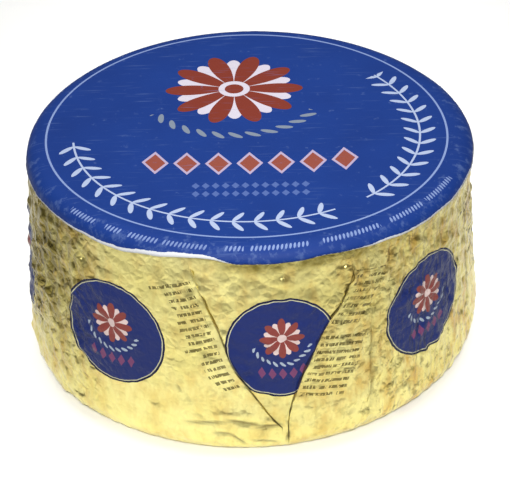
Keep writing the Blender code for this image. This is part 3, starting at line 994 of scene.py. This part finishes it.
def small_rows(tree, aside, up, lean, span, heights):
    """The mask of short printed rows beside a fold: broken lines between two distances and two heights.

    Heights are measured up the side plus lean times the distance aside, so that the lines lean."""
    up = add(tree, "Math", [aside, lean, up], operation="MULTIPLY_ADD")
    line = add(tree, "Math", [up, 1 / ROW_PITCH], operation="MULTIPLY")
    row = add(tree, "Math", [line], operation="FLOOR")
    within = add(tree, "Math", [line], operation="FRACT")
    line = add(tree, "Math", [within, 0.5, ROW_HALF_HEIGHT], operation="COMPARE")
    apart = add(tree, "Math", [row, ROW_APART], operation="MULTIPLY")
    uneven = add(tree, "Math", [within, ROW_UNEVEN, apart], operation="MULTIPLY_ADD")
    inked = []
    for (per_mm, least), across in ((DASHES, uneven), (WIDE_GAPS, apart)):
        along = add(tree, "Math", [aside, per_mm], operation="MULTIPLY")
        key = add(tree, "CombineXYZ", {"X": along, "Y": across})
        gap = add(tree, "TexNoise", {"Vector": key, "Scale": 1.0, "Detail": 1.0}, noise_dimensions="2D")
        inked.append(add(tree, "Math", [gap, least], operation="GREATER_THAN"))
    ragged = add(tree, "TexWhiteNoise", {"W": row}, noise_dimensions="1D")
    end = add(tree, "Math", [ragged, -ROW_END_RAGGED, span[1]], operation="MULTIPLY_ADD")
    before = add(tree, "Math", [aside, end], operation="LESS_THAN")
    after = add(tree, "Math", [aside, span[0]], operation="GREATER_THAN")
    middle = (heights[0] + heights[1]) / 2
    half = (heights[1] - heights[0]) / 2
    level = add(tree, "Math", [up, middle, half], operation="COMPARE")
    return all_of(tree, line, *inked, before, after, level)


def worn_rows(tree, print_at, mottle):
    """All blocks of rows beside the folds, fainter where the foil is mottled."""
    fold = add(tree, "SeparateXYZ", [in_mm(tree, "fold_place")]).node.outputs
    up = add(tree, "SeparateXYZ", [print_at]).node.outputs["Y"]
    rows = any_of(tree, *[small_rows(tree, fold[side], up, *lie) for side, *lie in ROW_BLOCKS])
    wear = add(tree, "MapRange", {"Value": mottle, "From Max": 0.5, "To Min": 0.85, "To Max": 0.35})
    return all_of(tree, rows, wear)


# %% The foil's lacquer, dark creases and fine relief
FOIL_GOLD = "#F8F1AE"
FOIL_DEEP = "#E9DA7C"
# the colour of the painted shade, and the dark end of the random mottle
FOIL_SHADE = "#8A7D3C"
FOIL_TAN = "#CFA650"
# painted shade in shut creases and the folds' grooves
FOIL_CREASE_SHADE = "#4A3F1C"
TONE_SIZE = 20.0
# a pattern is drawn out along the axis where its place is shrunk
DRAWN_OUT = (1.0, 1.0, 0.45)
UPRIGHT = (1.0, 1.0, 0.16)
PRESSED_DARK = 0.8


def lacquer(tree, position, handled, mottle):
    """The gold's colour: uneven in tone, tan in patches where handled, and darker by the painted shade and
    the mottle.
    """
    tone = add(tree, "TexNoise", {"Vector": position, "Scale": 1 / TONE_SIZE, "Detail": 3.0})
    drawn_out = add(tree, "VectorMath", [position, DRAWN_OUT], operation="MULTIPLY")
    tan = patches(tree, drawn_out, size=7.692, detail=3, levels=(0.46, 0.66), values=(0, 0.9), roughness=0.6)
    worked = add(tree, "Math", [handled, 0.7, 0.3], operation="MULTIPLY_ADD")
    # the painted shade, broken up by slow noise, and then the random mottle
    shade_and_mottle = add(tree, "Attribute", output="Fac", attribute_name="painted_shade")
    cloud = patches(tree, position, size=6.25, detail=3, levels=(0.3, 0.7), values=(0.5, 1.25))
    shade_and_mottle = any_of(tree, all_of(tree, shade_and_mottle, cloud), mottle)
    layers = ((tone, FOIL_DEEP), (all_of(tree, tan, worked), FOIL_TAN), (shade_and_mottle, FOIL_SHADE))
    return printed(tree, linear(FOIL_GOLD), layers)


def painted_crease_shade(tree, position):
    """Painted shade in shut creases: in patches along the folds' grooves, and where a valley is pressed."""
    groove = add(tree, "Attribute", output="Fac", attribute_name="groove")
    shut = patches(tree, position, size=7.143, detail=2, levels=(0.35, 0.6), values=(0.1, 0.9))
    pressed = add(tree, "Attribute", output="Fac", attribute_name="pressed")
    pressed = add(tree, "Math", [pressed, PRESSED_DARK], operation="MULTIPLY")
    return any_of(tree, all_of(tree, groove, shut), pressed)


def fine_creases(tree, warped, position, crumpled, streaked):
    """A bump in mm: the distances from the edges of cells of five widths, times their slopes, added up."""
    upright = add(tree, "VectorMath", [warped, UPRIGHT], operation="MULTIPLY")
    patchy = patches(tree, position, size=11.11, detail=1, levels=(0.35, 0.65), values=(0, 0.25))
    small = add(tree, "Math", [crumpled, 0.7, 0.2], operation="MULTIPLY_ADD")
    small = add(tree, "Math", [small, patchy], operation="ADD")
    relief = 0.0
    for at, width, slope, amount in (
        (warped, 6.0, 0.34, crumpled), (warped, 3.4, 0.3, small), (warped, 1.7, 0.1, small),
        (upright, 4.4, 0.3, streaked), (upright, 2.2, 0.2, streaked),
    ):
        roofs = add(tree, "TexVoronoi", {"Vector": at, "Scale": 1 / width}, feature="DISTANCE_TO_EDGE")
        roofs = add(tree, "Math", [roofs, width * slope], operation="MULTIPLY")
        relief = add(tree, "Math", [roofs, amount, relief], operation="MULTIPLY_ADD")
    return add(tree, "Bump", {"Height": relief, "Strength": 1.0, "Distance": 1 / MM})


# %% Make the foil's material
SLIP = 0.65
WANDER_SIZE = 2.857


def foil_material():
    """Gold-lacquered aluminium foil, printed and crumpled.

    Noise moves the print and the cells within SLIP mm, as the foil isn't laid quite true."""
    material, tree, surface = new_material("gold_lacquered_aluminium_foil")
    position = in_mm(tree)
    wander = add(tree, "TexNoise", {"Vector": position, "Scale": 1 / WANDER_SIZE, "Detail": 2.0}, "Color")
    wander = add(tree, "VectorMath", [wander, (0.5, 0.5, 0.5)], operation="SUBTRACT")
    slipped = add(tree, "VectorMath", {0: wander, "Scale": SLIP}, operation="SCALE")
    warped = add(tree, "VectorMath", [position, slipped], operation="ADD")
    crumpled = add(tree, "Attribute", output="Fac", attribute_name="crumpled")
    streaked = add(tree, "Attribute", output="Fac", attribute_name="streaked")
    handled = any_of(tree, crumpled, streaked)
    mottle = patches(
        tree, position, size=3.704, detail=3, levels=(0.5, 0.66), values=(0, 0.85), roughness=0.6)
    mottle = all_of(tree, mottle, handled)

    discs = []
    for flat_map in ("print_place", "cut_print_place"):
        place = add(tree, "VectorMath", [in_mm(tree, flat_map), slipped], operation="ADD")
        place = add(tree, "VectorMath", [place, (1, 1, 0)], operation="MULTIPLY")
        discs.append((place, *foil_disc(tree, place)))
    (print_at, disc_layers, disc), (_, cut_layers, cut_disc) = discs
    rows = worn_rows(tree, print_at, mottle)
    dark = painted_crease_shade(tree, position)
    gold = lacquer(tree, position, handled, mottle)
    colour = printed(tree, gold, ((rows, INK_ROWS), *disc_layers, *cut_layers, (dark, FOIL_CREASE_SHADE)))
    # the painted crease shade hides the metal, as the inks do
    covered = any_of(tree, disc, cut_disc, dark)
    bare = add(tree, "Math", [1.0, covered], operation="SUBTRACT")
    bump = fine_creases(tree, warped, position, crumpled, streaked)
    shader = add(tree, "BsdfPrincipled",
                 {"Base Color": colour, "Metallic": bare, "Roughness": 0.3, "Specular IOR Level": 0.1,
                  "Coat Weight": 0.06, "Coat Roughness": 0.12, "Normal": bump})
    tree.links.new(shader, surface)
    return material


foil.data.materials.append(foil_material())
print("foil material nodes:", len(foil.data.materials[0].node_tree.nodes))

# %% [markdown]
# ## Coated paper
# The label is paper with a clay coat, printed deep blue and varnished thinly. It is a plain dielectric
# with a low shine. What makes it look used is wear: pale scuffs where the ink has rubbed off, most of
# them near the rim, fine scratches from other wheels stacked on it, and the bare white margin with its
# ragged edge. The rim is painted darker where it bends down, as shade. An even blue would look like plastic.

# %% The label's wreath and ticks
BORDER_RADIUS = 75.5
BORDER_REPEATS = 52
STEM_HALF_WIDTH = 0.45
# the angles of the middle and of half the length of each run
WREATH_RUNS = np.radians(((-118, 56), (-6, 44))).tolist()
BAND_RADIUS = 94.0
BAND_REPEATS = 340
BAND_RUN = np.radians((-85, 58)).tolist()
TICK_GROUPS = 9.0
TICK_LEVEL = 0.38


def wreath(tree, at):
    """The mask of the runs of a leaf wreath: leaves slant from both sides of a stem."""
    border, out, angle = round_border(tree, at, BORDER_RADIUS, BORDER_REPEATS)
    along = add(tree, "SeparateXYZ", [border]).node.outputs["X"]
    side = add(tree, "Math", [out], operation="ABSOLUTE")
    half_plane = add(tree, "CombineXYZ", {"X": along, "Y": side})
    leaves = oval(tree, half_plane, place=(0, 3.6), degrees=55, half_size=(4.0, 1.15))
    stem = add(tree, "Math", [out, 0.0, STEM_HALF_WIDTH], operation="COMPARE")
    runs = [add(tree, "Math", [angle, *run], operation="COMPARE") for run in WREATH_RUNS]
    return all_of(tree, any_of(tree, leaves, stem), any_of(tree, *runs))


def ticks(tree, at):
    """The mask of short slanting ticks along the rim, which slow noise breaks into groups."""
    band, _, angle = round_border(tree, at, BAND_RADIUS, BAND_REPEATS)
    tick = oval(tree, band, place=(0, 0), degrees=20, half_size=(0.48, 1.3))
    group = add(tree, "TexNoise", {"W": angle, "Scale": TICK_GROUPS, "Detail": 0.0}, noise_dimensions="1D")
    group = add(tree, "Math", [group, TICK_LEVEL], operation="GREATER_THAN")
    run = add(tree, "Math", [angle, *BAND_RUN], operation="COMPARE")
    return all_of(tree, tick, group, run)


# %% The label's print
LABEL_BLUE = "#13347A"
# the ink's darker tone, and the painted shade at the rim
LABEL_DARK = "#0D2968"
LABEL_WHITE = "#B8B2BE"
LABEL_LILAC = "#9E90A8"
LABEL_WREATH = "#99A5BF"
LABEL_RING = "#7688B2"
LABEL_RED = "#6E2C20"
LABEL_ORANGE = "#7E4034"
LABEL_GREY = "#6E7886"
LABEL_PALE = "#465A90"
LABEL_SCUFF = "#5C719C"
LABEL_PAPER = "#BDBFC3"
RING_RADIUS = 87.3
RING_HALF_WIDTH = 0.45
FLOWER_PLACE = (-5.0, 36.0, 0.0)
LOZENGE_OUTLINE = 1.25
LOZENGE_FILL = 0.95
SMALL_ROWS_UP = (-47.0, -53.5)


def label_layers(tree, at):
    """The layers of ink of the label, from the lowest."""
    distance = add(tree, "VectorMath", [at], "Value", operation="LENGTH")
    ring = add(tree, "Math", [distance, RING_RADIUS, RING_HALF_WIDTH], operation="COMPARE")
    flower_at = add(tree, "VectorMath", [at, FLOWER_PLACE], operation="SUBTRACT")
    upper, lower, spray = flower(tree, flower_at, radius=31.0, petals=10, fullness=0.55, ring=41.0, leaves=34,
                                 leaf_turn=38, leaf_size=(3.9, 1.3), half_turn=1.05)
    eye = dot(tree, flower_at, radius=7.0)
    pupil = dot(tree, flower_at, radius=4.2)
    row = lozenge_row(tree, at, middle=(1.0, -29.0), pitch=13.4, count=7, half_size=(4.6, 7.4), bow=0.0016)
    outlines = add(tree, "Math", [row, LOZENGE_OUTLINE], operation="LESS_THAN")
    lozenges = add(tree, "Math", [row, LOZENGE_FILL], operation="LESS_THAN")
    small = []
    for up in SMALL_ROWS_UP:
        row = lozenge_row(tree, at, middle=(1.0, up), pitch=4.2, count=12, half_size=(1.7, 2.4), bow=0.001)
        small.append(add(tree, "Math", [row, 1.0], operation="LESS_THAN"))
    return ((ring, LABEL_RING), (wreath(tree, at), LABEL_WREATH), (ticks(tree, at), LABEL_RING),
            (spray, LABEL_GREY), (lower, LABEL_WHITE), (upper, LABEL_RED), (eye, LABEL_WHITE),
            (pupil, LABEL_RED), (outlines, LABEL_LILAC), (lozenges, LABEL_ORANGE),
            (any_of(tree, *small), LABEL_PALE))


# %% Make the label's material
SCRATCH_DRAWN_OUT = (0.05, 0.9, 1.0)
INK_TONE_SIZE = 33.33
SCUFF_SIZE = 4.545
RAGGED_SIZE = 2.0
# real paper's grain is about a tenth of this, too fine to show, so it is drawn as coarse as shows
GRAIN_SIZE = 1.25
GRAIN_HEIGHT = 0.0001


def label_material():
    """Coated paper, printed, scuffed and scratched, with shade painted darker towards its rim."""
    material, tree, surface = new_material("coated_printed_paper")
    at = in_mm(tree, "flat_place")
    tone = add(tree, "TexNoise", {"Vector": at, "Scale": 1 / INK_TONE_SIZE, "Detail": 4.0})
    drawn_out = add(tree, "VectorMath", [at, SCRATCH_DRAWN_OUT], operation="MULTIPLY")
    scratch = patches(tree, drawn_out, size=1.0, detail=3, levels=(0.62, 0.74), values=(0, 0.35))
    in_print = add(tree, "Attribute", output="Fac", attribute_name="in_print")
    in_print = add(tree, "Math", [in_print, MM], operation="MULTIPLY")
    scuff = add(tree, "TexNoise", {"Vector": at, "Scale": 1 / SCUFF_SIZE, "Detail": 6.0, "Roughness": 0.7})
    rubbed = add(tree, "MapRange", {"Value": in_print, "From Min": 14.0, "From Max": 3.0, "To Max": 0.11})
    scuff = add(tree, "Math", [scuff, rubbed], operation="ADD")
    scuff = add(tree, "MapRange", {"Value": scuff, "From Min": 0.62, "From Max": 0.74, "To Max": 0.5})
    # painted shade: the blue is darker towards the rim, where the label bends down
    rim = add(tree, "MapRange", {"Value": in_print, "From Min": 8.0, "From Max": 1.0, "To Max": 0.45})
    ragged = add(tree, "TexNoise", {"Vector": at, "Scale": 1 / RAGGED_SIZE, "Detail": 2.0})
    ragged = add(tree, "Math", [ragged, 0.8, -0.4], operation="MULTIPLY_ADD")
    unprinted = add(tree, "Math", [in_print, ragged], operation="LESS_THAN")
    layers = ((tone, LABEL_DARK), *label_layers(tree, at), (any_of(tree, scratch, scuff), LABEL_SCUFF),
              (rim, LABEL_DARK), (unprinted, LABEL_PAPER))
    colour = printed(tree, linear(LABEL_BLUE), layers)
    grain = add(tree, "TexNoise", {"Vector": in_mm(tree), "Scale": 1 / GRAIN_SIZE, "Detail": 4.0})
    bump = add(tree, "Bump", {"Height": grain, "Strength": 0.5, "Distance": GRAIN_HEIGHT})
    shader = add(tree, "BsdfPrincipled",
                 {"Base Color": colour, "Roughness": 0.6, "Specular IOR Level": 0.15, "Normal": bump})
    tree.links.new(shader, surface)
    return material


label.data.materials.append(label_material())
print("label material nodes:", len(label.data.materials[0].node_tree.nodes))

# %% [markdown]
# ## Floor and light
# The wheel is shown as on a studio table: a plain near-white floor, one large soft light overhead, a
# soft pool of light from the front, and a dim room. Foil shows what it mirrors, so the lights are part
# of its look. Its upright side mirrors the floor in front, which the pool makes bright, and its creases
# tilt up to mirror the light overhead and the dimmer room. The light overhead is very large, because a
# small one would show as a hard glint on every crease.

# %% The floor
FLOOR_SIZE = 24.0
FLOOR_WHITE = "#F8F8F7"
half = FLOOR_SIZE / 2
floor_corners = [(-half, -half, 0), (half, -half, 0), (half, half, 0), (-half, half, 0)]
floor_mesh = bpy.data.meshes.new("floor")
floor_mesh.from_pydata(floor_corners, [], [(0, 1, 2, 3)])
floor = bpy.data.objects.new("floor", floor_mesh)
bpy.context.scene.collection.objects.link(floor)
floor_material, floor_tree, floor_surface = new_material("matt_white_table")
floor_shader = add(floor_tree, "BsdfPrincipled",
                   {"Base Color": linear(FLOOR_WHITE), "Roughness": 0.9, "Specular IOR Level": 0.1})
floor_tree.links.new(floor_shader, floor_surface)
floor_mesh.materials.append(floor_material)
print("floor is", FLOOR_SIZE, "m across")

# %% Lights and the room's own glow
TOP_LIGHT_PLACE = (0.0, 0.3, 2.4)
TOP_LIGHT_SIZE = 2.4
TOP_LIGHT_POWER = 44
POOL_PLACE = (0.0, -1.3, 1.2)
POOL_AIM = (0.006, 0.10, 0.0)
POOL_POWER = 186
POOL_SPREAD = math.radians(16)
POOL_SOFT_SHARE = 0.8
POOL_LAMP_RADIUS = 0.15
ROOM_TINT = "#F8F4E8"
ROOM_GLOW = 0.15


def put_light(light, place, aim):
    """Puts a light at a place and turns it towards the point it is aimed at."""
    lamp = bpy.data.objects.new(light.name, light)
    lamp.location = place
    lamp.rotation_euler = (Vector(aim) - Vector(place)).to_track_quat("-Z", "Y").to_euler()
    bpy.context.scene.collection.objects.link(lamp)
    print(light.name, "at", place)


top_light = bpy.data.lights.new("top_light", "AREA")
top_light.shape = "SQUARE"
top_light.size = TOP_LIGHT_SIZE
top_light.energy = TOP_LIGHT_POWER
put_light(top_light, TOP_LIGHT_PLACE, (0, 0, 0))

pool_light = bpy.data.lights.new("pool_light", "SPOT")
pool_light.energy = POOL_POWER
pool_light.spot_size = POOL_SPREAD
pool_light.spot_blend = POOL_SOFT_SHARE
pool_light.shadow_soft_size = POOL_LAMP_RADIUS
put_light(pool_light, POOL_PLACE, POOL_AIM)

world = bpy.data.worlds.new("room")
world.use_nodes = True
background = world.node_tree.nodes["Background"]
background.inputs["Color"].default_value = linear(ROOM_TINT)
background.inputs["Strength"].default_value = ROOM_GLOW
bpy.context.scene.world = world
bpy.context.scene.view_settings.view_transform = "Standard"

# %% [markdown]
# ## Camera
# The camera looks down on the wheel from about a metre off, through a long lens. A short lens closer to
# the wheel would make its front loom. The values were fitted to the outline of the wheel and the label.

# %% The camera
ELEVATION = 0.5867
DISTANCE = 0.97
AIM = Vector((0.00078, 0.0, 0.04359)) - Vector(MIDDLE.tolist())
LENS = 151.6
SENSOR_WIDTH = 36.0
ROLL = -0.0319
camera_data = bpy.data.cameras.new("camera")
camera_data.lens = LENS
camera_data.sensor_width = SENSOR_WIDTH
camera = bpy.data.objects.new("camera", camera_data)
bpy.context.scene.collection.objects.link(camera)
behind = Vector((0, -math.cos(ELEVATION), math.sin(ELEVATION)))
tilt = Matrix.Rotation(math.pi / 2 - ELEVATION, 4, "X")
camera.matrix_world = Matrix.Translation(AIM + DISTANCE * behind) @ tilt @ Matrix.Rotation(ROLL, 4, "Z")
bpy.context.scene.camera = camera
print("camera looks down at", round(math.degrees(ELEVATION), 1), "degrees")
